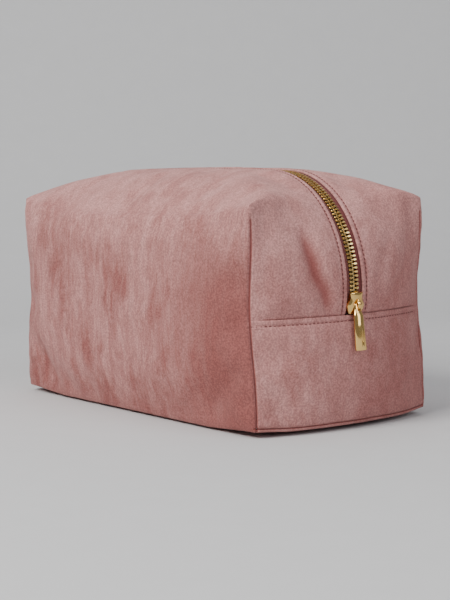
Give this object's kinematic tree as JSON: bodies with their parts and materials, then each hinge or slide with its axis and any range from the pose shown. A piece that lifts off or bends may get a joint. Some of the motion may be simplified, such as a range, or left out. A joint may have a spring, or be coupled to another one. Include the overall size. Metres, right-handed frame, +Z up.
{
  "type": "zippered pouch",
  "caption": "Soft box-shaped pouch in brushed cloth with a metal zip over the top and down both ends, and a hanging metal pull.",
  "frame": {"origin": "middle of the base, under the middle of the whole pouch's box", "axes": "+X along the pouch's length towards the end where the closed slider hangs, +Y from the front long face to the back, +Z up"},
  "size_m": [0.2578, 0.127, 0.1382],
  "materials": {
    "suede": "dusty rose brushed suede cloth, matt with a soft nap",
    "wadding": "needled polyester wadding",
    "lining": "plain woven satin",
    "zip_tape": "herringbone woven tape",
    "zip_elements": "polished brass, darker between the elements",
    "zip_hardware": "polished light gold plating",
    "thread": "twisted polyester thread"
  },
  "bodies": {
    "root": {"outer_front_lower": "suede", "outer_back_lower": "suede", "outer_end_right": "suede", "outer_end_left": "suede", "interlining_front_lower": "wadding", "interlining_back_lower": "wadding", "interlining_end_right": "wadding", "interlining_end_left": "wadding", "lining_front_lower": "lining", "lining_back_lower": "lining", "lining_end_right": "lining", "lining_end_left": "lining", "top_stop_front": "zip_hardware", "top_stop_back": "zip_hardware", "bottom_stop": "zip_hardware", "topstitch_end_right": "thread", "topstitch_end_left": "thread"},
    "mouth_front": {"outer_front_upper": "suede", "interlining_front_upper": "wadding", "lining_front_upper": "lining", "zip_tape_front": "zip_tape", "zip_chain_front": "zip_elements", "topstitch_front": "thread"},
    "mouth_back": {"outer_back_upper": "suede", "interlining_back_upper": "wadding", "lining_back_upper": "lining", "zip_tape_back": "zip_tape", "zip_chain_back": "zip_elements", "topstitch_back": "thread"},
    "slider": {"slider_body": "zip_hardware", "slider_bridge": "zip_hardware"},
    "pull": {"zip_pull": "zip_hardware"}
  },
  "joints": [
    {"name": "slider_travel", "type": "hinge", "parent": "root", "child": "slider", "pos_m": [0.06322, 0, 0.0751], "axis": [0, 1, 0], "range_deg": [-95, 0], "deforming": ["zip_chain_front", "zip_chain_back"]},
    {"name": "pull_swing", "type": "hinge", "parent": "slider", "child": "pull", "pos_m": [0.12638, 0, 0.06606], "axis": [0, -1, 0], "range_deg": [0, 160]},
    {"name": "mouth_front_open", "type": "slide", "parent": "root", "child": "mouth_front", "axis": [0, -1, 0], "range_m": [0, 0.03]},
    {"name": "mouth_back_open", "type": "slide", "parent": "root", "child": "mouth_back", "axis": [0, 1, 0], "range_m": [0, 0.03]}
  ]
}
